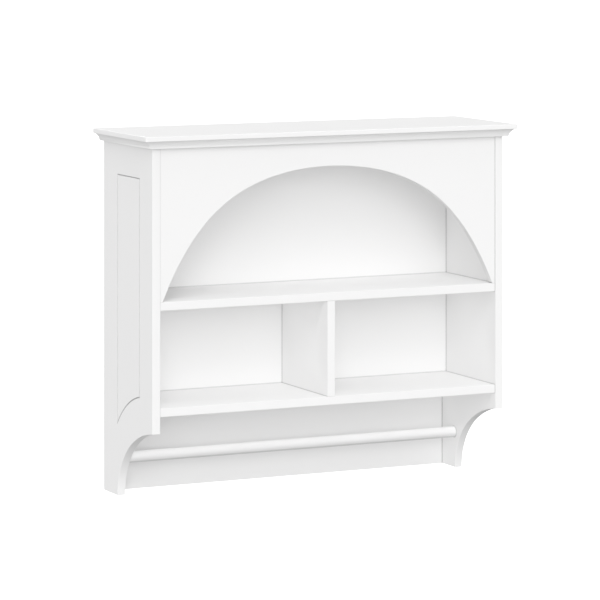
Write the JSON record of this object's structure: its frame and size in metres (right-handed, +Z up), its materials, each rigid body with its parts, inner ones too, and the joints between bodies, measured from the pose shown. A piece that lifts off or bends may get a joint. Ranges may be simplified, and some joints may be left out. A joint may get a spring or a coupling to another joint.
{
  "type": "wall shelf with towel bar",
  "caption": "White wall-hung shelf unit with an arched front over an open compartment, divided cubbies, a towel bar between curved side brackets and a cove cornice.",
  "frame": {"origin": "on the wall plane, midway between the sides, at the height of the bottom of the rear feet", "axes": "+Z up, +Y into the wall, +X to the right of someone facing the front, so the front faces -Y"},
  "size_m": [0.742, 0.245, 0.655],
  "materials": {
    "painted_board": "white satin paint",
    "painted_back": "white satin paint on thin board",
    "painted_bar": "white satin paint on a turned bar",
    "cap_plastic": "matt",
    "bare_beech": "unfinished",
    "zinc_steel": "bright zinc plated"
  },
  "bodies": {
    "carcass": {"left_side_panel": "painted_board", "right_side_panel": "painted_board", "top_board": "painted_board", "front_cornice": "painted_board", "left_cornice": "painted_board", "right_cornice": "painted_board", "arch_panel": "painted_board", "middle_shelf": "painted_board", "lower_shelf": "painted_board", "centre_divider": "painted_board", "upper_hanging_rail": "painted_board", "lower_back_rail": "painted_board", "left_top_batten": "painted_board", "right_top_batten": "painted_board", "back_panel": "painted_back", "cam_cover_caps": "cap_plastic", "wood_dowels": "bare_beech", "cam_locks": "zinc_steel", "cam_bolts": "zinc_steel", "batten_screws": "zinc_steel", "divider_screws": "zinc_steel", "back_panel_nails": "zinc_steel", "cornice_brads": "zinc_steel", "keyhole_hangers": "zinc_steel", "keyhole_hanger_screws": "zinc_steel"},
    "towel_bar": {"towel_bar": "painted_bar"}
  },
  "joints": [
    {"name": "towel_bar_spin", "type": "hinge", "parent": "carcass", "child": "towel_bar", "pos_m": [0, -0.062, 0.0665], "axis": [1, 0, 0], "continuous": true}
  ]
}
